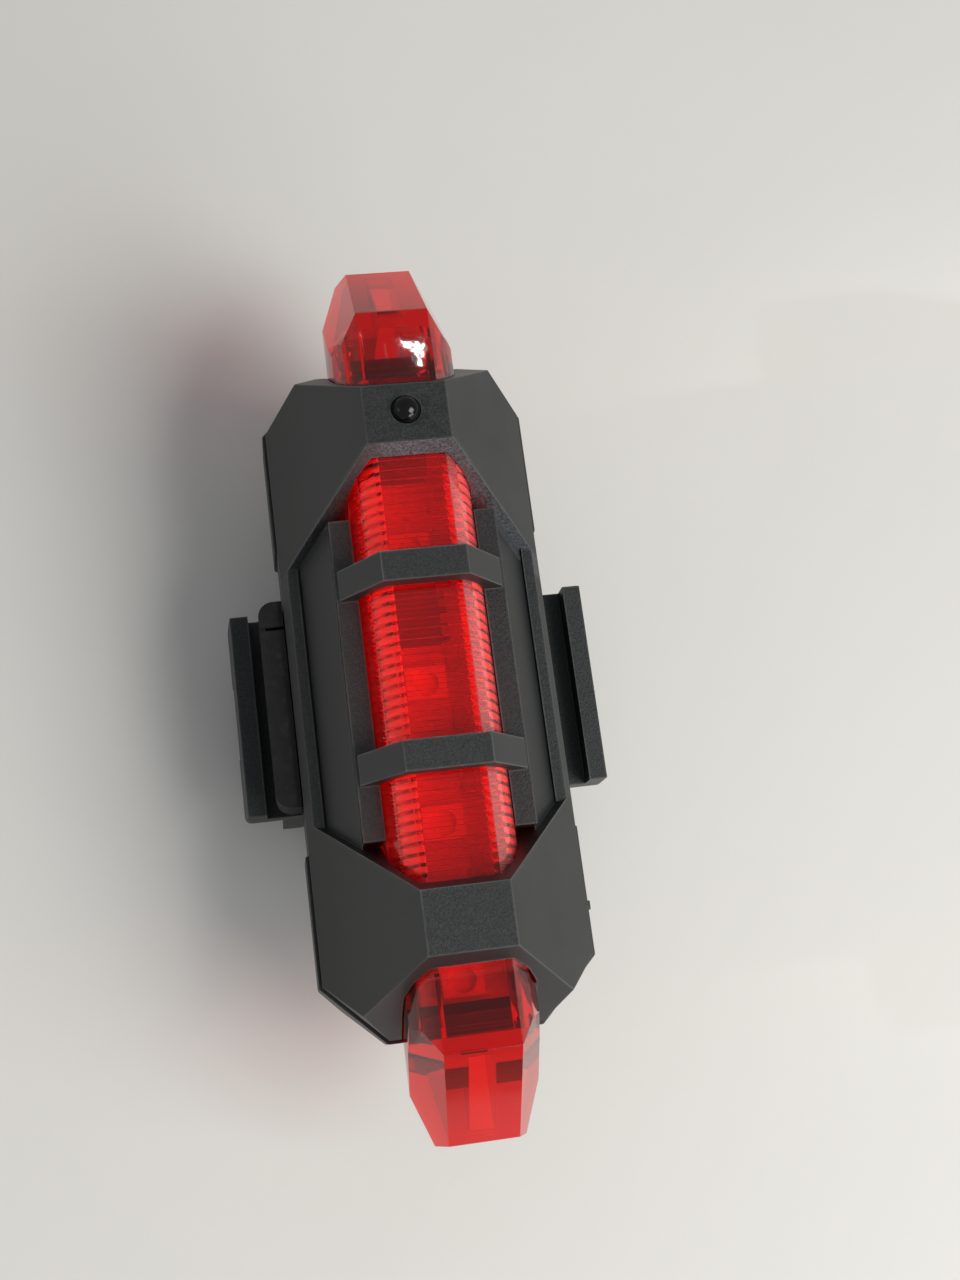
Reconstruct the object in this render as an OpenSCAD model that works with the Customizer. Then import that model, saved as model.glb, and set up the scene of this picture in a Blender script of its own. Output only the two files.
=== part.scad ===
// Rechargeable light bar: faceted housing, full-length red lens, strap bracket.
// The origin is under the middle of the light, on the surface that it lies on.
// +Y runs along the lens towards the button, and +Z points out of the lens.

/* [Housing] */
// Length of the housing without the lens noses
housing_l = 57.8; // [56:0.1:60]
// Width of the housing
housing_w = 22.6; // [22:0.1:23.2]
// Height of the flat ridge above the resting surface
ridge_z = 29; // [28.8:0.1:29.4]
// Width of the flat ridge
ridge_w = 7; // [6.6:0.1:7.2]
// Length of the ridge, end to end
ridge_l = 46.2; // [45.6:0.1:46.8]
// Height of the rim where the roof meets the side walls
rim_z = 17.5; // [17.3:0.1:17.7]
// Corner cut, measured along the side
cut_l = 4.9; // [4.4:0.1:5.4]
// Corner cut, measured along the end
cut_w = 4.95; // [4.4:0.1:5.4]
// Wall thickness of both shells
wall = 1.4; // [1.3:0.1:1.5]

/* [Window] */
// Half length of the window along the ridge
window_y = 18.05; // [17.8:0.05:18.3]
// Half length of the window at its outer corners
window_side_y = 11; // [10.8:0.1:11.4]
// Depth of the side panels below the roof
panel_sink = 1.7; // [1.5:0.1:1.8]
// Half length of the rails beside the lens
rail_y = 13.45; // [13:0.05:13.8]
// Half length of the flat lips at the outer edge
lip_y = 11.2; // [9:0.1:11.4]
// Width of each cross bar
bar_w = 2.5; // [2:0.1:3]
// Distance from the centre to the middle of each cross bar
bar_y = 7.7; // [6.5:0.1:9]

/* [Lens] */
// Overall length of the lens bar
lens_l = 75; // [74:0.5:77]
// Height of the lens's flat top
lens_z = 27.25; // [27:0.05:27.3]
// Pitch of the cross ribs inside the lens
rib_pitch = 0.85; // [0.8:0.05:1.2]
// Where each nose starts to slope, measured from the centre
nose_y = 30.4; // [30:0.1:31.5]

/* [Button] */
// Diameter of the button
button_d = 2.4; // [2.2:0.1:2.6]
// Position of the button along the ridge
button_y = 20.8; // [20.6:0.1:21]

/* [Bracket] */
// Radius of the post that the saddle is cut for
post_r = 11.1; // [11:0.05:11.15]
// Half angle that the saddle pad covers
saddle_angle = 67.5; // [67:0.5:68]
// Length of the bracket and its ears
bracket_l = 18; // [17.5:0.5:19]
// Width over the tops of both ears
ears_w = 32; // [31.6:0.1:33]

/* [Hidden] */
$fn = 48;
far = 100;

BLACK = [0.13, 0.13, 0.13];
RED_CLEAR = [0.85, 0.08, 0.06, 0.8];
RUBBER = [0.17, 0.15, 0.14];
STEEL = [0.7, 0.7, 0.72];
WHITE = [0.93, 0.93, 0.9];
CHIP = [0.08, 0.08, 0.09];

// Housing
hx = housing_w / 2;
hy = housing_l / 2;
ridge_x = ridge_w / 2;
ridge_y = ridge_l / 2;
side_slope = (ridge_z - rim_z) / (hx - ridge_x);
seam_z = 16.7;
back_z = 9.3;
floor_z = back_z + 1.3;
in_x = hx - wall;
in_y = hy - wall;

// Window, half widths and heights
rail_out = 7.06;
lip_in = 9.78;
lip_out = 10.7;
lip_step = 0.35;
bar_end = 6.8;
pocket_z = 20.1;
wall_lean = 0.65;
fit = 0.1;

// Inside of the front cover
cover_depth = 3.6;
ceiling_z = 19.3;

// Lens sections: half width, and drop below the flat top
lens_x = 5.3;
lens_side = [[3.05, 0], [4.35, 1.6], [5.15, 3.55], [lens_x, 6.05]];
lens_hollow = [[2.6, 1.1], [3.45, 2.15], [4.1, 3.75], [4.25, 6.05]];
rib_hollow = [[2.66, 1.02], [3.75, 1.95], [4.45, 3.65], [4.6, 6.05]];
lens_bottom = 17.7;
flange_x = 6.5;
flange_y = 19;
flange_t = 1.4;
rib_end_y = 20;
hollow_y = 29.2;
nose_end_z = 20.2;
nose_end_x = 2.85;
slot_x = 1.08;
slot_y = [30.4, 36.2];
slot_under = 1.7;

// Rear shell
step_out = 0.3;
step_y = 13.2;
screw_x = 8.2;
screw_y = 21.5;
screw_r = 0.85;
screw_head_r = 1.6;
screw_seat_z = 11.6;
bracket_screw_x = 7;
bracket_y = 0.3;
tab_x = 3.7;
tab_top = 21.5;

// Board
board_z = 15.7;
board_top = 16.7;
board_x = 9.4;
board_y = 26.6;
board_neck_x = 5.8;
board_neck_y = 18.6;

// Charging port and its rubber cover
port_lo = [-12, -4.7, 13];
port_hi = [-9.5, 4.2, 15.9];
flap_out = -hx - 2.2;
flap_in = -hx - 0.1;
flap_lo = 12.5;
flap_hi = 16.6;
flap_y = 9;
flap_round = 1.3;
hinge_y = 6.6;
hinge_gap = 0.3;
anchor_y = 7.8;
anchor_z = 14.45;

// Cell
cell_x = [-4.2, 8.8];
cell_z = [11.5, 15.5];
cell_y = 18;
lead_r = 0.5;
lead_bend = 1.2;
lead_z = 13.7;

// Switch and button
switch_w = 4.5;
switch_top = 19.9;
plunger_r = 1.1;
plunger_top = 20.9;
stem_r = 0.8;
button_flange_r = 1.8;
dome_z = ridge_z - 0.15;

// Bracket
saddle_top = post_r * (1 - cos(saddle_angle));
post_z = saddle_top - post_r;
pad_r = post_r + 1.3;
pad_y = 8.5;
flank_x = 13;
flank_z = 0.9;
ear_x = ears_w / 2;
ear_lip_t = 1.6;
ear_draft = 0.35;
ear_under = 7.3;
ear_floor = 9.1;
ear_top = 11.35;
ear_round = 0.6;

function roof_at(x) = ridge_z - (x - ridge_x) * side_slope;
function flipped(half) = [for (i = [len(half) - 1 : -1 : 0]) [-half[i][0], half[i][1]]];
function both(half) = concat(half, flipped(half));
function under_top(pts, c = 0) = [for (p = pts) [p[0] + c, lens_z - p[1] + c]];
function backwards(pts) = [for (i = [len(pts) - 1 : -1 : 0]) pts[i]];

// ---------- shared shapes ----------

// Extrudes an outline drawn in X and Z from y0 to y1.
module along_y(y0, y1) {
    translate([0, y1, 0]) rotate([90, 0, 0]) linear_extrude(height = y1 - y0) children();
}

// Extrudes an outline drawn in Y and Z from x0 to x1.
module along_x(x0, x1) {
    translate([x0, 0, 0]) rotate([90, 0, 90]) linear_extrude(height = x1 - x0) children();
}

module box(lo, hi) {
    translate(lo) cube(hi - lo);
}

// Everything beyond the plane through three points, which run anticlockwise as seen from there.
module beyond(a, b, c) {
    n = cross(b - a, c - a);
    translate(a) rotate([0, acos(n[2] / norm(n)), atan2(n[1], n[0])])
        translate([-far, -far, 0]) cube([2 * far, 2 * far, far]);
}

module both_sides() {
    children();
    mirror([1, 0, 0]) children();
}

module both_ends() {
    children();
    mirror([0, 1, 0]) children();
}

module at_case_screws(z) {
    for (x = [-screw_x, screw_x], y = [-screw_y, screw_y]) translate([x, y, z]) children();
}

module at_bracket_screws(z) {
    for (x = [-bracket_screw_x, bracket_screw_x]) translate([x, bracket_y, z]) children();
}

// Plan outline of the housing with its corners cut, grown outwards by g.
module plan(g = 0) {
    x = hx + g;
    y = hy + g;
    corner = g * tan(22.5);
    cx = hx - cut_w + corner;
    cy = hy - cut_l + corner;
    polygon(both([[cx, -y], [x, -cy], [x, cy], [cx, y]]));
}

// Closed groove run of the seam seal, left open under the lens.
module seal_run() {
    intersection() {
        translate([0, 0, seam_z - 0.3]) linear_extrude(height = 0.6) difference() {
            plan(-0.45);
            plan(-0.95);
        }
        both_sides() box([lens_x + 0.9, -far, 0], [far, far, far]);
    }
}

// ---------- front cover ----------

module roof_solid() {
    end_slope_base = [[hy, rim_z], [ridge_y, ridge_z]];
    side_slope_base = [[hx, rim_z], [ridge_x, ridge_z]];
    intersection() {
        translate([0, 0, seam_z]) linear_extrude(height = ridge_z - seam_z) plan();
        along_y(-far, far) polygon(both(concat([[hx, 0]], side_slope_base)));
        along_x(-far, far) polygon(both(concat([[hy, 0]], end_slope_base)));
    }
}

module window_plan() {
    polygon(both([[ridge_x, -window_y], [lip_out, -window_side_y],
                  [lip_out, window_side_y], [ridge_x, window_y]]));
}

// What stays inside the window: panels, lips, rails, cross bars and leaning end walls.
module window_fill() {
    panel_top = roof_at(rail_out) - panel_sink;
    panel_low = roof_at(lip_in) - panel_sink;
    both_sides() {
        along_y(-far, far) polygon([[rail_out, 0], [rail_out, panel_top],
                                    [lip_in, panel_low], [lip_out, panel_low], [lip_out, 0]]);
        box([lip_in, -lip_y, 0], [lip_out, lip_y, panel_low + lip_step]);
    }
    box([-rail_out, -rail_y, 0], [rail_out, rail_y, roof_at(rail_out)]);
    for (s = [-1, 1]) translate([0, s * bar_y, 0]) box([-bar_end, -bar_w / 2, 0], [bar_end, bar_w / 2, ridge_z]);
    box([-rail_out, -far, 0], [rail_out, far, pocket_z]);
    both_ends() leaning_walls();
}

// The window's end wall and its two diagonal walls, which lean in towards the lens as they go down.
module leaning_walls() {
    drop = ridge_z - lens_z;
    top = [ridge_x, window_y, ridge_z];
    foot = [ridge_x - wall_lean * tan(22.5), window_y - wall_lean, ridge_z - drop];
    outer = [lip_out, window_side_y, roof_at(lip_out)];
    beyond(top, foot, [0, window_y, ridge_z]);
    both_sides() beyond(outer, foot, top);
}

// Room for the lens, open downwards.
module lens_tunnel() {
    along_y(-far, far) polygon(both(concat([[lens_x + fit, 0]], backwards(under_top(lens_side, fit)))));
}

module cover_inside() {
    side_x = ridge_x + (ridge_z - cover_depth - seam_z) / side_slope;
    top_x = ridge_x + (ridge_z - cover_depth - ceiling_z) / side_slope;
    difference() {
        intersection() {
            linear_extrude(height = far) plan(-wall);
            along_y(-far, far) polygon(both([[side_x, 0], [side_x, seam_z], [top_x, ceiling_z]]));
            along_x(-far, far) polygon(both([[in_y, 0], [in_y, seam_z], [in_y - wall, ceiling_z]]));
        }
        at_case_screws(seam_z) cylinder(r = 2, h = far);
    }
}

module front_cover() color(BLACK) {
    difference() {
        roof_solid();
        difference() {
            translate([0, 0, seam_z - 1]) linear_extrude(height = far) window_plan();
            window_fill();
        }
        lens_tunnel();
        cover_inside();
        at_case_screws(seam_z - 1) cylinder(r = screw_r + 0.02, h = 4.4);
        translate([0, button_y, lens_z]) cylinder(d = button_d + 0.1, h = far);
        seal_run();
    }
}

// ---------- lens ----------

module lens_outside() {
    body = concat([[lens_x, lens_bottom]], backwards(under_top(lens_side)));
    end_y = lens_l / 2;
    flat_corner = [lens_side[0][0], nose_y, lens_z];
    end_corner = [nose_end_x, end_y, nose_end_z];
    side_corner = [lens_x, nose_y - 0.3, lens_z - lens_side[3][1]];
    difference() {
        intersection() {
            along_y(-end_y, end_y) polygon(both(body));
            along_x(-far, far) polygon(both([[end_y, 0], [end_y, nose_end_z], [nose_y, lens_z]]));
        }
        both_sides() both_ends() beyond(flat_corner, side_corner, end_corner);
    }
    box([-flange_x, -flange_y, lens_bottom], [flange_x, flange_y, lens_bottom + flange_t]);
}

module lens_hollow_slice(section, y0, y1) {
    last = section[len(section) - 1];
    along_y(y0, y1) polygon(both(concat([[last[0], 0]], backwards(under_top(section)))));
}

// Open slot in the middle of each nose, parallel to the sloping top.
module nose_slot() {
    fall = (lens_z - nose_end_z) / (lens_l / 2 - nose_y);
    tops = [for (y = slot_y) [y, lens_z - slot_under - (y - nose_y) * fall]];
    along_x(-slot_x, slot_x) polygon([[slot_y[0], 0], tops[0], tops[1], [slot_y[1], 0]]);
}

module lens_bar() color(RED_CLEAR) {
    difference() {
        lens_outside();
        lens_hollow_slice(lens_hollow, -hollow_y, hollow_y);
        for (y = [-rib_end_y : rib_pitch : rib_end_y - rib_pitch])
            lens_hollow_slice(rib_hollow, y, y + rib_pitch / 2);
        both_ends() nose_slot();
        translate([0, button_y, lens_z - 2]) cylinder(r = button_flange_r + 0.3, h = 3);
    }
}

// ---------- rear shell ----------

module shell_outside() {
    intersection() {
        union() {
            linear_extrude(height = seam_z) plan();
            intersection() {
                linear_extrude(height = seam_z) plan(step_out);
                both_ends() box([-far, step_y, 0], [far, far, far]);
            }
        }
        along_y(-far, far) polygon(both([[10.1, back_z], [hx + 0.5, back_z + 2.4], [hx + 0.5, seam_z]]));
        along_x(-far, far) polygon(both([[26.2, back_z], [hy + 0.5, back_z + 3.4], [hy + 0.5, seam_z]]));
    }
}

module shell_inside() {
    intersection() {
        translate([0, 0, floor_z]) linear_extrude(height = far) plan(-wall);
        along_y(-far, far) polygon(both([[8.6, floor_z], [in_x, floor_z + 1.7], [in_x, far]]));
        along_x(-far, far) polygon(both([[25.2, floor_z], [in_y, floor_z + 2.7], [in_y, far]]));
    }
}

module rear_shell() color(BLACK) {
    difference() {
        union() {
            difference() {
                shell_outside();
                shell_inside();
            }
            at_case_screws(floor_z - 0.5) cylinder(r = 2, h = seam_z - floor_z + 0.5);
            at_case_screws(floor_z - 0.5) cylinder(r = 2.4, h = 2.2);
            // ledges under the board
            both_sides() both_ends() box([8.9, 10, board_z - 1.1], [in_x + 0.3, 17, board_z]);
            // sill under each lens nose, and the tab that closes the lens
            both_ends() box([-5.2, in_y, seam_z - 1], [5.2, hy - 0.1, lens_bottom - fit]);
            both_ends() box([-tab_x, in_y, seam_z - 1], [tab_x, in_y + 1, tab_top]);
            // moulding gate stub
            box([hx, -20.3, seam_z - 2.4], [hx + 0.8, -19.5, seam_z - 1.6]);
        }
        at_case_screws(back_z - 1) cylinder(r = screw_head_r + 0.15, h = screw_seat_z - back_z + 1);
        at_case_screws(back_z - 1) cylinder(r = screw_r + 0.1, h = far);
        at_bracket_screws(back_z - 1) cylinder(r = screw_r + 0.1, h = 3);
        box(port_lo, port_hi);
        translate([-hx - 1, anchor_y, anchor_z]) rotate([0, 90, 0]) cylinder(r = 0.8, h = 4);
        seal_run();
    }
}

module seam_seal() color(RUBBER) {
    seal_run();
}

// ---------- board ----------

module circuit_board() color(WHITE) {
    difference() {
        union() {
            box([-board_x, -board_neck_y, board_z], [board_x, board_neck_y, board_top]);
            box([-board_neck_x, -board_y, board_z], [board_neck_x, board_y, board_top]);
        }
        // plated holes for the cell leads
        for (x = [1, 4]) translate([x, cell_y + 1 + lead_bend, board_z - 1]) cylinder(r = 0.3, h = 3);
    }
}

// Light-emitting package, 3.5 by 2.8, with its round bowl.
module led(y) {
    translate([0, y, board_top]) difference() {
        translate([-1.75, -1.4, 0]) cube([3.5, 2.8, 1.9]);
        translate([0, 0, 1.3]) cylinder(r = 1.1, h = 1);
    }
}

module centre_leds() color(WHITE) {
    for (y = [-12, 0, 12]) led(y);
}

module end_leds() color(WHITE) {
    for (y = [-24.8, 24.8]) led(y);
}

// Chip body with pins in rows on both sides, centred on x and y.
module chip(x, y, w, l, h, pins) {
    pitch = 1.27;
    translate([x, y, board_top]) {
        box([-w / 2, -l / 2, 0.12], [w / 2, l / 2, h]);
        both_sides() for (i = [0 : pins - 1]) translate([0, (i - (pins - 1) / 2) * pitch, 0])
            box([w / 2 - 0.2, -0.2, 0], [w / 2 + 0.75, 0.2, 0.3]);
    }
}

module controller_chip() color(CHIP) {
    chip(0, 6, 3.9, 4.9, 1.45, 4);
}

module charging_chip() color(CHIP) {
    chip(0.4, -6, 1.6, 2.9, 1.1, 2);
}

module board_components() color([0.25, 0.2, 0.16]) {
    spots = [[-2.6, -3], [-2.6, -8.6], [2.7, -3], [2.7, -8.6], [-2.7, 9.6], [2.7, 9.6],
             [-2.6, -15], [2.6, -15.6], [-2.7, 2.4], [2.7, 2.4]];
    for (p = spots) translate([p[0] - 0.6, p[1] - 1, board_top]) cube([1.2, 2, 0.6]);
}

module charge_indicator() color([0.9, 0.9, 0.75]) {
    box([-3.2, 15.4, board_top], [-2, 17.4, board_top + 0.8]);
}

// ---------- switch and button ----------

module switch_base() color(CHIP) {
    translate([0, button_y, board_top]) difference() {
        translate([-switch_w / 2, -switch_w / 2, 0]) cube([switch_w, switch_w, switch_top - board_top]);
        translate([0, 0, 1.9]) cylinder(r = plunger_r + 0.05, h = 3);
    }
}

module switch_plunger() color([0.2, 0.2, 0.22]) {
    low = board_top + 2.4;
    translate([0, button_y, low]) cylinder(r = plunger_r, h = plunger_top - low);
}

module mode_button() color(BLACK) {
    flange_top = lens_z - 0.05;
    translate([0, button_y, 0]) {
        translate([0, 0, plunger_top + 0.05]) cylinder(r = stem_r, h = flange_top - plunger_top - 0.2);
        translate([0, 0, flange_top - 0.5]) cylinder(r = button_flange_r, h = 0.5);
        translate([0, 0, flange_top - 0.2]) cylinder(d = button_d, h = dome_z - flange_top + 0.2);
        translate([0, 0, dome_z]) sphere(d = button_d);
    }
}

// ---------- charging port ----------

module usb_socket() color(STEEL) {
    difference() {
        box([-10.2, -3.75, board_z - 2.5], [-5.2, 3.75, board_z]);
        box([-11, -3.45, board_z - 2.2], [-5.6, 3.45, board_z - 0.3]);
    }
}

module usb_tongue() color(CHIP) {
    box([-9.7, -1.9, board_z - 1.1], [-5.6, 1.9, board_z - 0.5]);
}

// Rubber strip against the left wall, from y0 to its free end y1, with the free corner rounded.
module rubber_strip(y0, y1) {
    s = sign(y1 - y0);
    r = flap_round;
    difference() {
        box([flap_out, min(y0, y1), flap_lo], [flap_in, max(y0, y1), flap_hi]);
        translate([flap_out + r, y1 - s * r, flap_lo - 1]) difference() {
            translate([-2 * r, s > 0 ? 0 : -2 * r, 0]) cube([2 * r, 2 * r, far]);
            translate([0, 0, -1]) cylinder(r = r, h = 2 * far);
        }
    }
}

module port_cover() color(RUBBER) {
    rubber_strip(hinge_y - hinge_gap / 2, -flap_y);
    box([flap_in - 0.1, -4.05, port_lo[2] + 0.25], [-10.45, 3.9, port_hi[2] - 0.25]);
}

module port_cover_anchor() color(RUBBER) {
    rubber_strip(hinge_y + hinge_gap / 2, flap_y);
    translate([flap_in - 0.1, anchor_y, anchor_z]) rotate([0, 90, 0]) {
        cylinder(r = 0.75, h = 2);
        translate([0, 0, 1.65]) cylinder(r = 1.1, h = 0.8);
    }
}

// ---------- cell ----------

module battery_cell() color([0.75, 0.76, 0.78]) {
    r = 1.2;
    body_y = cell_y - 1;
    box([cell_x[0] + r, -cell_y, cell_z[0]], [cell_x[1] - r, body_y, cell_z[1]]);
    box([cell_x[0], -cell_y, cell_z[0] + r], [cell_x[1], body_y, cell_z[1] - r]);
    for (x = [cell_x[0] + r, cell_x[1] - r], z = [cell_z[0] + r, cell_z[1] - r])
        translate([x, body_y, z]) rotate([90, 0, 0]) cylinder(r = r, h = cell_y + body_y);
    // protection board under the tape at the lead end
    box([cell_x[0] + 1, body_y - 1, lead_z - 1], [cell_x[1] - 1, cell_y, lead_z + 0.8]);
}

module battery_foam() color([0.85, 0.85, 0.8]) {
    box([-4, -16, floor_z], [4.9, 16, cell_z[0]]);
}

// Insulated lead from the end of the cell up to the board, at the given x.
module lead(x) {
    y = cell_y + 1;
    translate([x, y, lead_z]) rotate([90, 0, 0]) cylinder(r = lead_r, h = 1);
    translate([x, y, lead_z + lead_bend]) rotate([0, 90, 0])
        rotate_extrude(angle = 90) translate([lead_bend, 0]) circle(r = lead_r);
    translate([x, y + lead_bend, lead_z + lead_bend])
        cylinder(r = lead_r, h = board_z - lead_z - lead_bend);
}

module battery_lead_positive() color([0.75, 0.08, 0.06]) {
    lead(1);
}

module battery_lead_negative() color(CHIP) {
    lead(4);
}

// ---------- fasteners ----------

// Cross-head screw standing on z = 0, head below.
module screw(shank, head_r, head_h) {
    cylinder(r = screw_r, h = shank);
    difference() {
        translate([0, 0, -head_h]) cylinder(r = head_r, h = head_h);
        for (a = [0, 90]) rotate([0, 0, a])
            translate([-head_r * 0.6, -0.2, -head_h - 1]) cube([head_r * 1.2, 0.4, 1.4]);
    }
}

module case_screws() color(STEEL) {
    at_case_screws(screw_seat_z) screw(8.2, screw_head_r, 1.3);
}

module bracket_screws() color(STEEL) {
    at_bracket_screws(floor_z) mirror([0, 0, 1]) screw(3.5, screw_head_r, 0.7);
}

// ---------- bracket ----------

// Plan of the bracket: rounded corners, and a shallow waist where the strap loop sits.
module ear_outline() {
    x = ear_x + ear_draft;
    y = bracket_l / 2;
    r = ear_round;
    difference() {
        square([2 * x, 2 * y], center = true);
        both_sides() both_ends() translate([x - r, y - r]) difference() {
            square([r + 1, r + 1]);
            circle(r = r);
        }
        both_sides() translate([x - 0.08, -3.3]) square([1, 6.6]);
    }
}

module strap_bracket() color(BLACK) {
    lip_x = ear_x - ear_lip_t;
    difference() {
        intersection() {
            along_y(-far, far)
                polygon(both([[flank_x, flank_z], [flank_x, ear_under], [ear_x + ear_draft, ear_under],
                              [ear_x, ear_top], [lip_x, ear_top], [lip_x, ear_floor],
                              [11.4, ear_floor], [11.2, back_z]]));
            linear_extrude(height = far) translate([0, bracket_y]) ear_outline();
        }
        translate([0, far, post_z]) rotate([90, 0, 0]) cylinder(r = pad_r, h = 2 * far, $fn = 96);
        at_bracket_screws(back_z - 2.4) cylinder(r = screw_r + 0.02, h = 3);
    }
}

module saddle_pad() color(RUBBER) {
    translate([0, bracket_y + pad_y, post_z]) rotate([90, 0, 0]) rotate([0, 0, 90 - saddle_angle])
        rotate_extrude(angle = 2 * saddle_angle, $fn = 96)
            translate([post_r, 0]) square([pad_r - post_r, 2 * pad_y]);
}

front_cover();
lens_bar();
rear_shell();
seam_seal();
circuit_board();
centre_leds();
end_leds();
controller_chip();
charging_chip();
board_components();
charge_indicator();
switch_base();
switch_plunger();
mode_button();
usb_socket();
usb_tongue();
port_cover();
port_cover_anchor();
battery_cell();
battery_foam();
battery_lead_positive();
battery_lead_negative();
case_screws();
strap_bracket();
bracket_screws();
saddle_pad();
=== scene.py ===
"""Looks of the strap-on light bar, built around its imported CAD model."""

import math

import bmesh
import bpy
from mathutils import Matrix, Vector


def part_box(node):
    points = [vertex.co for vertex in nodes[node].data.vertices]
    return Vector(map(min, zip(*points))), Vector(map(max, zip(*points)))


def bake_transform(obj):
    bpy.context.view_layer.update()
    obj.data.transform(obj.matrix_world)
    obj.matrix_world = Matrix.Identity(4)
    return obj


MM = 0.001

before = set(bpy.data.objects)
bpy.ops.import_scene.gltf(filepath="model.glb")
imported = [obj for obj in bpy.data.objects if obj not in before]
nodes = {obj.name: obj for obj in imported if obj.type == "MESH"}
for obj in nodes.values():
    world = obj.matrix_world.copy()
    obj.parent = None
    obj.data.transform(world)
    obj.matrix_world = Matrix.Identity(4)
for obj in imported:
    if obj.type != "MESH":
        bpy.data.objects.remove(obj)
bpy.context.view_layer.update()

# ---------- camera ----------

SENSOR_MM = 36.0
FOCAL_MM = 44.87
NEAR_LIMIT_M = 0.005
CAMERA_AT = Vector((-14.6, -27.9, 150.8)) * MM
CAMERA_TURN = (
    Matrix.Rotation(math.radians(-8.48), 3, "Y")
    @ Matrix.Rotation(math.radians(13.16), 3, "X")
    @ Matrix.Rotation(math.radians(-7.54), 3, "Z")
)
camera_data = bpy.data.cameras.new("camera")
camera_data.sensor_width = SENSOR_MM
camera_data.lens = FOCAL_MM
camera_data.clip_start = NEAR_LIMIT_M
camera = bpy.data.objects.new("camera", camera_data)
bpy.context.scene.collection.objects.link(camera)
camera.matrix_world = Matrix.Translation(CAMERA_AT) @ CAMERA_TURN.to_4x4()
bpy.context.scene.camera = camera
bpy.context.scene.view_settings.view_transform = "Standard"


# ---------- node helpers ----------

class Nodes:
    """A material's node tree, with short calls for adding and joining nodes."""

    SOCKETS = {
        "base": "Base Color", "rough": "Roughness", "metal": "Metallic", "ior": "IOR",
        "specular": "Specular IOR Level", "clear": "Transmission Weight", "normal": "Normal",
    }

    def __init__(self, name):
        self.material = bpy.data.materials.new(name)
        self.material.use_nodes = True
        self.tree = self.material.node_tree
        self.tree.nodes.clear()
        self.out = self.tree.nodes.new("ShaderNodeOutputMaterial")
        self.shader = self.tree.nodes.new("ShaderNodeBsdfPrincipled")
        self.join(self.shader, "BSDF", self.out, "Surface")
        self.place = self.tree.nodes.new("ShaderNodeTexCoord")

    def join(self, a, a_socket, b, b_socket):
        self.tree.links.new(a.outputs[a_socket], b.inputs[b_socket])

    def feed(self, node, socket, value):
        if isinstance(value, bpy.types.NodeSocket):
            self.tree.links.new(value, node.inputs[socket])
        else:
            node.inputs[socket].default_value = value

    def add(self, kind, inputs=None, **settings):
        node = self.tree.nodes.new("ShaderNode" + kind)
        for key, value in settings.items():
            setattr(node, key, value)
        for key, value in (inputs or {}).items():
            self.feed(node, key, value)
        return node

    def set(self, **values):
        """Sets the principled shader's inputs."""
        for key, value in values.items():
            self.feed(self.shader, self.SOCKETS[key], value)

    def math(self, operation, a, b=0.0):
        return self.add("Math", {0: a, 1: b}, operation=operation).outputs[0]

    def product(self, *factors):
        result = factors[0]
        for factor in factors[1:]:
            result = self.math("MULTIPLY", result, factor)
        return result

    def total(self, *terms):
        result = terms[0]
        for term in terms[1:]:
            result = self.math("ADD", result, term)
        return result

    def minus(self, a, b):
        return self.math("SUBTRACT", a, b)

    def rest_of(self, share):
        """1 minus the share."""
        return self.math("SUBTRACT", 1.0, share)

    def place_mm(self):
        """X, Y and Z of the point, in mm."""
        outputs = self.add("SeparateXYZ", {0: self.place.outputs["Object"]}).outputs
        return [self.math("MULTIPLY", output, 1 / MM) for output in outputs]

    def tilt(self):
        """Z of the face's normal: 1 facing up, 0 on walls, -1 facing down."""
        normal = self.add("NewGeometry").outputs["True Normal"]
        return self.add("SeparateXYZ", {0: normal}).outputs[2]

    def noise(self, size_mm, detail=3.0, rough=0.55, stretch=(1, 1, 1)):
        """Noise with features about size_mm across, from 0 to 1."""
        mapped = self.add("Mapping", {"Vector": self.place.outputs["Object"], "Scale": stretch})
        return self.add("TexNoise", {"Vector": mapped.outputs[0], "Scale": 1 / (size_mm * MM),
                                     "Detail": detail, "Roughness": rough}).outputs[0]

    def cells(self, size_mm):
        """Distance to the nearest cell centre, for specks and pores."""
        return self.add("TexVoronoi", {"Vector": self.place.outputs["Object"],
                                       "Scale": 1 / (size_mm * MM)}).outputs["Distance"]

    def ramp(self, value, low, high, a=0.0, b=1.0):
        """Maps low..high to a..b, clamped."""
        return self.add("MapRange", {"Value": value, "From Min": low, "From Max": high,
                                     "To Min": a, "To Max": b}).outputs[0]

    def mix(self, share, a, b):
        """Colour a where share is 0 and b where it is 1."""
        node = self.add("Mix", data_type="RGBA")
        self.feed(node, 0, share)
        for socket, colour in ((6, a), (7, b)):
            self.feed(node, socket, colour if isinstance(colour, bpy.types.NodeSocket) else (*colour, 1))
        return node.outputs[2]

    def bump(self, height, depth_mm, before=None):
        inputs = {"Height": height, "Distance": depth_mm * MM, "Strength": 1.0}
        if before is not None:
            inputs["Normal"] = before
        return self.add("Bump", inputs).outputs[0]

    def facing_up(self):
        """1 on faces that look straight up, 0 on slopes."""
        return self.ramp(self.tilt(), 0.93, 0.985)

    def edge(self, radius_mm):
        """1 near sharp outer edges, 0 on flats."""
        rounded = self.add("Bevel", {"Radius": radius_mm * MM}, samples=6).outputs[0]
        plain = self.add("NewGeometry").outputs["Normal"]
        dot = self.add("VectorMath", {0: rounded, 1: plain}, operation="DOT_PRODUCT").outputs["Value"]
        return self.ramp(dot, 0.995, 0.9)


# ---------- materials ----------

# The outline of the cover's window, as two corners of one quarter of it (X and Y in mm), and the width
# of its leaning walls.
WINDOW_END = (3.85, 18.05)
WINDOW_SIDE = (10.7, 11.0)
WALL_BAND = 1.5


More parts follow.
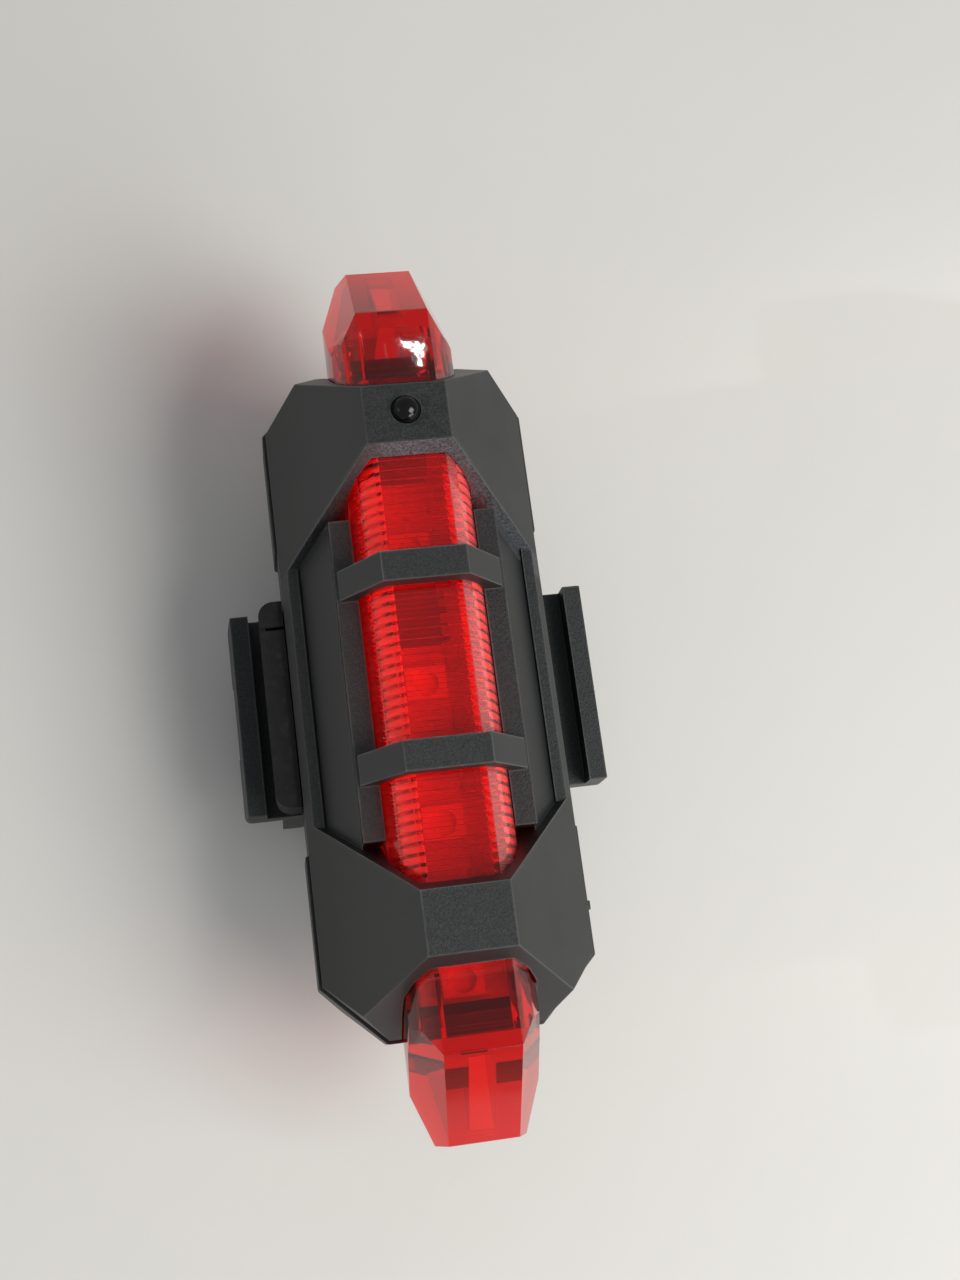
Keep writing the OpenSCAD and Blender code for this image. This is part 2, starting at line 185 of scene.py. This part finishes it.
def window_walls_painted_light(m):
    """1 on the leaning walls round the cover's window, most at its upper right: painted light where the
    walls face the lamps.
    """
    x, y, _ = m.place_mm()
    across = m.math("ABSOLUTE", x)
    along = m.math("ABSOLUTE", y)
    run = Vector((WINDOW_SIDE[0] - WINDOW_END[0], WINDOW_SIDE[1] - WINDOW_END[1])).normalized()
    out = (-run.y, run.x)
    offset = out[0] * WINDOW_END[0] + out[1] * WINDOW_END[1]
    slant = m.total(m.product(across, out[0]), m.product(along, out[1]))
    beyond = m.math("MAXIMUM", m.minus(slant, offset), m.minus(along, WINDOW_END[1]))
    band = m.product(m.ramp(beyond, -WALL_BAND, 0.15 - WALL_BAND), m.ramp(beyond, 0.05, 0.15, 1, 0))
    tilt = m.tilt()
    leaning = m.product(m.ramp(tilt, 0.1, 0.2), m.ramp(tilt, 0.5, 0.6, 1, 0))
    # Painted light: the walls at the upper end and on the right face the lamps, so they get the most.
    upper = m.ramp(y, -5, 5, 0.2, 1.0)
    right = m.ramp(x, -3.6, -2, 0.35, 1.0)
    return m.product(band, leaning, upper, right)


WORN_TONE = (0.13, 0.134, 0.134)
DUST_TONE = (0.3, 0.29, 0.27)


def moulded_black(name, tone, grain_everywhere=False, walls=False):
    """Black moulded plastic: sparked grain on the flats, smooth satin on the slopes."""
    m = Nodes(name)
    flats = 1.0 if grain_everywhere else m.facing_up()
    specks = m.noise(0.15, 2.0, 0.68)
    cloud = m.noise(9.0, 3.0)
    dust = m.ramp(m.noise(0.5, 5.0, 0.75), 0.62, 0.8)
    light = tuple(c * 2.2 + 0.006 for c in tone)
    grained = m.mix(m.ramp(specks, 0.4, 0.66), tuple(c * 0.8 for c in tone), light)
    smooth = m.mix(cloud, tone, tuple(c * 1.35 for c in tone))
    wear = m.product(m.edge(0.26), m.ramp(cloud, 0.35, 0.65, 0.2, 0.7))
    worn = m.mix(wear, m.mix(flats, smooth, grained), WORN_TONE)
    look = m.mix(m.product(dust, 0.05), worn, DUST_TONE)
    # Painted light: the leaning window walls are made lighter where they face the lamps. The coarse grain
    # on them is the real texture.
    if walls:
        coarse_specks = m.ramp(m.noise(0.2, 3.0, 0.7), 0.4, 0.64)
        speckled_painted_light = m.mix(coarse_specks, (0.028, 0.03, 0.033), (0.13, 0.135, 0.145))
        look = m.mix(window_walls_painted_light(m), look, speckled_painted_light)
    satin = m.ramp(cloud, 0.3, 0.7, 0.4, 0.5)
    rough = m.total(satin, m.product(flats, m.ramp(specks, 0.35, 0.65, 0.02, 0.16)))
    fine = m.bump(m.noise(0.09, 2.0, 0.6), 0.004)
    m.set(base=look, ior=1.45, rough=rough, normal=m.bump(m.product(specks, flats), 0.045, fine))
    return m.material


# The ribs inside the lens, in mm. Each column of ribs runs along one shoulder of the lens.
RIB_PITCH = 0.85
RIB_START = 20.0
RIB_LEAD = 0.08  # share of a pitch that is pale before each groove
RIB_SHARE = 0.68  # share of a pitch that is pale in all
COLUMN_INNER = (2.5, 2.6)
COLUMN_OUTER = (3.85, 4.0)
RIGHT_INNER_SHIFT = 1.1  # the column at +X lies further out than the one at -X
RIGHT_OUTER_SHIFT = 0.7

# The rest of the lens, in mm. A pair of values is where a change of look starts and ends.
SKIN_DEPTH = (0.5, 0.6)  # below the top face
INNER_HALF_WIDTH = 2.3  # half the width of the hollow at the top face
INNER_GROWTH = 0.78  # how much that grows with each mm of depth
NOSE_FROM = (24.4, 24.9)  # from the middle of the lens
TIP_FROM = (30.2, 31.0)
# Painted sheen: a narrow band of the lens skin on the +X side, facing the lamps, scatters a little and
# looks paler.
PAINTED_SHEEN_FROM = (2.95, 3.15)  # from the middle plane, on the +X side

DYE = (0.98, 0.2, 0.15, 1)
DYE_DENSITY = 2000.0


def lens_skin(m, across, depth):
    """1 on the outer surface of the lens, 0 on the walls of its hollow."""
    wall = m.total(INNER_HALF_WIDTH, m.product(depth, INNER_GROWTH))
    return m.math("MAXIMUM", m.ramp(depth, *SKIN_DEPTH, 1, 0), m.ramp(m.minus(across, wall), 0, 0.1))


def rib_column(m, across, right):
    """1 along the two columns of ribs."""
    inner = m.minus(across, m.product(right, RIGHT_INNER_SHIFT))
    outer = m.minus(across, m.product(right, RIGHT_OUTER_SHIFT))
    return m.product(m.ramp(inner, *COLUMN_INNER), m.ramp(outer, *COLUMN_OUTER, 1, 0))


def red_clear(name, top_mm):
    """Clear plastic that is dyed red right through: thin walls look bright, thick ones deep.

    The ribs inside its shoulders scatter light, and so does the rest of the hollow, a little."""
    m = Nodes(name)
    x, y, z = m.place_mm()
    across = m.math("ABSOLUTE", x)
    from_middle = m.math("ABSOLUTE", y)
    right = m.math("GREATER_THAN", x, 0.0)
    nose = m.ramp(from_middle, *NOSE_FROM)
    skin = lens_skin(m, across, m.minus(top_mm, z))
    inside = m.product(m.rest_of(skin), m.rest_of(nose))
    column = rib_column(m, across, right)
    # Whole pitches are added so that the value stays positive.
    pitches = m.math("DIVIDE", m.total(y, RIB_START + (10 + RIB_LEAD) * RIB_PITCH), RIB_PITCH)
    rib = m.product(m.math("LESS_THAN", m.math("FRACT", pitches), RIB_SHARE), column)

    haze = m.noise(2.5, 4.0)
    scuffs = m.ramp(m.noise(0.7, 6.0, 0.8, (1, 0.12, 1)), 0.63, 0.72)
    plain = m.product(m.ramp(haze, 0.3, 0.7, 0.12, 0.2), m.rest_of(column))
    hollow_share = m.product(inside, m.total(plain, 0.04, m.product(rib, 0.86)))
    nose_share = m.product(nose, m.ramp(from_middle, *TIP_FROM, 0.02, 0.1))
    # Painted sheen on the +X skin, where it faces the lamps.
    right_painted_sheen_share = m.product(skin, right, m.ramp(across, *PAINTED_SHEEN_FROM), 0.06, m.rest_of(nose))
    scattering = m.total(hollow_share, nose_share, right_painted_sheen_share)

    ribbed = m.mix(rib, (0.95, 0.1, 0.09), (1.0, 0.6, 0.55))
    outer = m.mix(nose, (0.99, 0.94, 0.93), (0.98, 0.06, 0.05))
    rough = m.total(m.ramp(haze, 0.3, 0.7, 0.012, 0.035), m.product(scuffs, 0.12))
    m.set(base=m.mix(inside, outer, ribbed), ior=1.45, clear=m.rest_of(scattering), rough=rough,
          normal=m.bump(m.noise(1.6, 2.0), 0.003))
    dye = m.add("VolumeAbsorption", {"Color": DYE, "Density": DYE_DENSITY})
    m.join(dye, "Volume", m.out, "Volume")

    # Lamps shine straight through the walls, tinted, so that the inside is lit.
    pane = m.add("BsdfTransparent")
    m.feed(pane, "Color", m.mix(nose, (0.94, 0.72, 0.7), (0.5, 0.4, 0.38)))
    lamp = m.add("LightPath").outputs["Is Shadow Ray"]
    both = m.add("MixShader")
    m.feed(both, 0, lamp)
    m.join(m.shader, "BSDF", both, 1)
    m.join(pane, "BSDF", both, 2)
    m.join(both, 0, m.out, "Surface")
    return m.material


def rubber(name, tone):
    """Soft moulded rubber: dull, with fine grain and pale dust."""
    m = Nodes(name)
    dust = m.ramp(m.noise(1.4, 6.0, 0.7), 0.5, 0.8)
    m.set(base=m.mix(m.product(dust, 0.35), tone, tuple(c * 1.8 + 0.03 for c in tone)),
          rough=m.ramp(m.noise(0.6, 4.0), 0.3, 0.7, 0.66, 0.82), specular=0.35,
          normal=m.bump(m.noise(0.14, 3.0, 0.65), 0.02))
    return m.material


def steel(name):
    """Zinc-plated steel with turned or drawn lines."""
    m = Nodes(name)
    lines = m.noise(0.12, 3.0, 0.6, (1, 0.08, 1))
    stain = m.ramp(m.noise(1.2, 4.0), 0.35, 0.7)
    m.set(base=m.mix(stain, (0.58, 0.58, 0.57), (0.74, 0.73, 0.7)), metal=1.0,
          rough=m.ramp(lines, 0.3, 0.7, 0.2, 0.38), normal=m.bump(lines, 0.006))
    return m.material


def gloss_black(name):
    """Polished black button with faint scratches."""
    m = Nodes(name)
    scratch = m.ramp(m.noise(0.25, 6.0, 0.8, (0.2, 1, 1)), 0.6, 0.75)
    m.set(base=m.mix(scratch, (0.003, 0.003, 0.003), (0.02, 0.02, 0.02)),
          rough=m.ramp(scratch, 0, 1, 0.12, 0.26), specular=0.3,
          normal=m.bump(m.noise(0.5, 2.0), 0.01))
    return m.material


def board_white(name):
    """White solder mask over copper tracks, with tinned vias."""
    m = Nodes(name)
    tracks = m.add("TexBrick", {"Vector": m.place.outputs["Object"], "Scale": 1 / (2.4 * MM),
                                "Mortar Size": 0.06, "Mortar Smooth": 0.3}).outputs["Fac"]
    vias = m.ramp(m.cells(2.6), 0.1, 0.13, 1.0, 0.0)
    mask = m.mix(m.ramp(m.noise(3.0, 3.0), 0.3, 0.7), (0.84, 0.85, 0.83), (0.77, 0.78, 0.76))
    tracked = m.mix(m.product(tracks, 0.35), mask, (0.68, 0.7, 0.66))
    m.set(base=m.mix(vias, tracked, (0.62, 0.6, 0.56)), rough=m.ramp(m.noise(0.8), 0.3, 0.7, 0.34, 0.5),
          metal=m.product(vias, 0.8), normal=m.bump(tracks, 0.03))
    return m.material


def led_package(name, top_mm):
    """White package whose bowl, below its rim, holds yellow phosphor."""
    m = Nodes(name)
    z = m.place_mm()[2]
    bowl = m.product(m.facing_up(), m.ramp(z, top_mm - 0.5, top_mm - 0.2, 1, 0))
    m.set(base=m.mix(bowl, (0.86, 0.86, 0.83), (0.82, 0.62, 0.12)),
          rough=m.ramp(m.noise(0.4, 4.0), 0.3, 0.7, 0.25, 0.42), normal=m.bump(m.noise(0.2), 0.01))
    return m.material


def ceramic_mix(name, tones):
    """Small chip capacitors and resistors: tan and grey bodies."""
    m = Nodes(name)
    cell = m.add("TexVoronoi", {"Vector": m.place.outputs["Object"], "Scale": 1 / (4.5 * MM)})
    pick = m.add("SeparateColor", {0: cell.outputs["Color"]}).outputs[0]
    m.set(base=m.mix(m.ramp(pick, 0.45, 0.55), *tones), rough=m.ramp(m.noise(0.3), 0.3, 0.7, 0.35, 0.55),
          normal=m.bump(m.noise(0.12, 4.0), 0.01))
    return m.material


def foil(name):
    """Laminated foil pouch with pressed creases, darker in their hollows as painted shade."""
    m = Nodes(name)
    crease_height_and_shade = m.noise(2.2, 7.0, 0.62)
    # Painted shade: the colour darkens where the bump is lowest, in the hollows.
    m.set(base=m.mix(crease_height_and_shade, (0.62, 0.63, 0.65), (0.8, 0.8, 0.82)), metal=0.85,
          rough=m.ramp(crease_height_and_shade, 0.35, 0.65, 0.26, 0.42), normal=m.bump(crease_height_and_shade, 0.09))
    return m.material


def foam(name):
    """Open-cell adhesive foam, darker in its pits as painted shade."""
    m = Nodes(name)
    pores = m.ramp(m.cells(0.35), 0.15, 0.5)
    # Painted shade: the pits, lowest in the bump, are given the dark colour.
    m.set(base=m.mix(pores, (0.42, 0.42, 0.39), (0.8, 0.8, 0.75)),
          rough=m.ramp(m.noise(1.5), 0.3, 0.7, 0.85, 0.98), normal=m.bump(pores, 0.12))
    return m.material


def wire(name, tone):
    """Silicone insulation."""
    m = Nodes(name)
    m.set(base=m.mix(m.noise(1.0, 3.0), tone, tuple(c * 1.4 for c in tone)),
          rough=m.ramp(m.noise(0.4), 0.3, 0.7, 0.35, 0.5), normal=m.bump(m.noise(0.2), 0.008))
    return m.material


LED_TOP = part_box("centre_leds")[1].z / MM
COVER = moulded_black("cover_plastic", (0.01, 0.0108, 0.0112), walls=True)
SHELL = moulded_black("shell_plastic", (0.007, 0.0073, 0.0075))
BRACKET = moulded_black("bracket_plastic", (0.012, 0.0138, 0.0138))
CHIP = moulded_black("chip_plastic", (0.012, 0.012, 0.013), grain_everywhere=True)
LENS = red_clear("lens_red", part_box("lens_bar")[1].z / MM)
RUBBER = rubber("rubber", (0.011, 0.0105, 0.01))
PAD = rubber("pad_rubber", (0.02, 0.02, 0.02))
STEEL = steel("steel")
BUTTON = gloss_black("button_gloss")
BOARD = board_white("board_white")
LED = led_package("led_white", LED_TOP)
PARTS = ceramic_mix("components", ((0.36, 0.26, 0.16), (0.4, 0.38, 0.34)))
FOIL = foil("cell_foil")
FOAM = foam("foam")
LEAD_RED = wire("lead_red", (0.5, 0.02, 0.015))
LEAD_BLACK = wire("lead_black", (0.014, 0.014, 0.015))


# ---------- CAD nodes ----------

WELD_M = 1e-6
BEVEL_SEGMENTS = 3
SHARP_DEGREES = 25


def edges(obj, width_mm):
    """Rounds a CAD node's sharp edges with modifiers."""
    weld = obj.modifiers.new("weld", "WELD")
    weld.merge_threshold = WELD_M
    bevel = obj.modifiers.new("edges", "BEVEL")
    bevel.width = width_mm * MM
    bevel.segments = BEVEL_SEGMENTS
    bevel.limit_method = "ANGLE"
    bevel.angle_limit = math.radians(SHARP_DEGREES)
    bevel.harden_normals = False
    bevel.use_clamp_overlap = True
    bevel.miter_outer = "MITER_ARC"
    smooth = obj.modifiers.new("normals", "WEIGHTED_NORMAL")
    smooth.keep_sharp = True
    for polygon in obj.data.polygons:
        polygon.use_smooth = True


# Each node's material and the width of its rounded edges in mm.
LOOKS = {
    "front_cover": (COVER, 0.24), "lens_bar": (LENS, 0.06), "rear_shell": (SHELL, 0.16),
    "seam_seal": (RUBBER, 0),
    "circuit_board": (BOARD, 0.03), "centre_leds": (LED, 0.06), "end_leds": (LED, 0.06),
    "controller_chip": (CHIP, 0.04), "charging_chip": (CHIP, 0.04), "board_components": (PARTS, 0.05),
    "charge_indicator": (LED, 0.05), "switch_base": (CHIP, 0.08), "switch_plunger": (CHIP, 0.08),
    "mode_button": (BUTTON, 0.05), "usb_socket": (STEEL, 0.05), "usb_tongue": (CHIP, 0.04),
    "port_cover": (RUBBER, 0.2), "port_cover_anchor": (RUBBER, 0.2), "battery_cell": (FOIL, 0.1),
    "battery_foam": (FOAM, 0.05),
    "battery_lead_positive": (LEAD_RED, 0), "battery_lead_negative": (LEAD_BLACK, 0),
    "case_screws": (STEEL, 0.06), "strap_bracket": (BRACKET, 0.2), "bracket_screws": (STEEL, 0.06),
    "saddle_pad": (PAD, 0.15),
}
for node_name, (look, rounding) in LOOKS.items():
    node = nodes[node_name]
    node.data.materials.clear()
    node.data.materials.append(look)
    if rounding:
        edges(node, rounding)


# ---------- rubber web at the port cover's hinge ----------

def grid_box(name, lo_mm, hi_mm, cuts, material):
    """A closed box of quads, with the given number of cells along X, Y and Z."""
    shape = bmesh.new()
    bmesh.ops.create_cube(shape, size=1.0)
    size = [hi - lo for lo, hi in zip(lo_mm, hi_mm)]
    middle = [(hi + lo) / 2 for lo, hi in zip(lo_mm, hi_mm)]
    for vert in shape.verts:
        vert.co = Vector(centre + c * s for centre, c, s in zip(middle, vert.co, size)) * MM
    for axis in range(3):
        for cut in range(1, cuts[axis]):
            at = list(middle)
            at[axis] = lo_mm[axis] + size[axis] * cut / cuts[axis]
            normal = [0, 0, 0]
            normal[axis] = 1
            everything = shape.verts[:] + shape.edges[:] + shape.faces[:]
            bmesh.ops.bisect_plane(shape, geom=everything, plane_co=Vector(at) * MM, plane_no=normal)
    bmesh.ops.recalc_face_normals(shape, faces=shape.faces)
    mesh = bpy.data.meshes.new(name)
    shape.to_mesh(mesh)
    shape.free()
    mesh.materials.append(material)
    obj = bpy.data.objects.new(name, mesh)
    bpy.context.scene.collection.objects.link(obj)
    return obj


WEB_LAP = 0.35
WEB_T = 0.5
WEB_PROUD = 0.02
WEB_INSET = 0.2
WEB_CELLS = (1, 8, 4)
flap_low, flap_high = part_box("port_cover")
anchor_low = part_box("port_cover_anchor")[0]
web_y = (flap_high.y / MM - WEB_LAP, anchor_low.y / MM + WEB_LAP)
web_x = flap_low.x / MM
web = grid_box("port_cover_web",
               (web_x - WEB_PROUD, web_y[0], flap_low.z / MM + WEB_INSET),
               (web_x + WEB_T, web_y[1], flap_high.z / MM - WEB_INSET), WEB_CELLS, RUBBER)
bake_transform(web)


# ---------- stage ----------

def floor_material():
    """Pale painted surface, faintly mottled."""
    m = Nodes("floor_paint")
    cloud = m.noise(60, 4.0)
    m.set(base=m.mix(cloud, (0.66, 0.645, 0.61), (0.71, 0.695, 0.66)),
          rough=m.ramp(cloud, 0.3, 0.7, 0.5, 0.62), normal=m.bump(m.noise(3.0, 3.0), 0.02))
    return m.material


def square(name, size, material):
    """A flat square in the plane z = 0, centred on the origin, with its size in metres."""
    mesh = bpy.data.meshes.new(name)
    half = size / 2
    corners = [(-half, -half, 0), (half, -half, 0), (half, half, 0), (-half, half, 0)]
    mesh.from_pydata(corners, [], [(0, 1, 2, 3)])
    mesh.materials.append(material)
    obj = bpy.data.objects.new(name, mesh)
    bpy.context.scene.collection.objects.link(obj)
    return obj


def softbox(name, at_mm, target_mm, size_mm, watts, colour=(1, 1, 1), spread=180):
    """A rectangular lamp aimed at a point, with its spread in degrees."""
    data = bpy.data.lights.new(name, "AREA")
    data.shape = "RECTANGLE"
    data.size = size_mm[0] * MM
    data.size_y = size_mm[1] * MM
    data.energy = watts
    data.color = colour
    data.spread = math.radians(spread)
    obj = bpy.data.objects.new(name, data)
    bpy.context.scene.collection.objects.link(obj)
    at = Vector(at_mm) * MM
    obj.location = at
    obj.rotation_euler = (Vector(target_mm) * MM - at).to_track_quat("-Z", "Y").to_euler()
    return obj


FLOOR_M = 4.0
SKY_TINT = (0.93, 0.96, 1.0, 1)
SKY_STRENGTH = 0.35
floor = square("floor", FLOOR_M, floor_material())

world = bpy.data.worlds.new("world")
bpy.context.scene.world = world
world.use_nodes = True
sky = world.node_tree.nodes["Background"]
sky.inputs["Color"].default_value = SKY_TINT
sky.inputs["Strength"].default_value = SKY_STRENGTH

# Points on the object that the lamps are aimed at, in mm.
MIDDLE = (0, 0, 15)
RIBS = (0, 0, 25)
UPPER_NOSE = (0, 30, 26)
WARM = (1, 0.985, 0.95)
COOL = (0.97, 0.98, 1.0)
ROSY = (1, 0.96, 0.94)
softbox("key", (410, -235, 500), MIDDLE, (380, 380), 4.0, WARM)
softbox("fill", (330, -500, 220), MIDDLE, (420, 200), 1.6, COOL)
softbox("rib_glow", (-560, -40, 231), RIBS, (74, 9), 0.0016, ROSY, 3)
# A small bright cross bar and post, as of a window, that glint on the upper nose.
softbox("window_bar", (71.6, 269.5, 570), UPPER_NOSE, (10, 1.2), 0.005)
softbox("window_post", (76, 265, 570), UPPER_NOSE, (1.2, 10), 0.005)
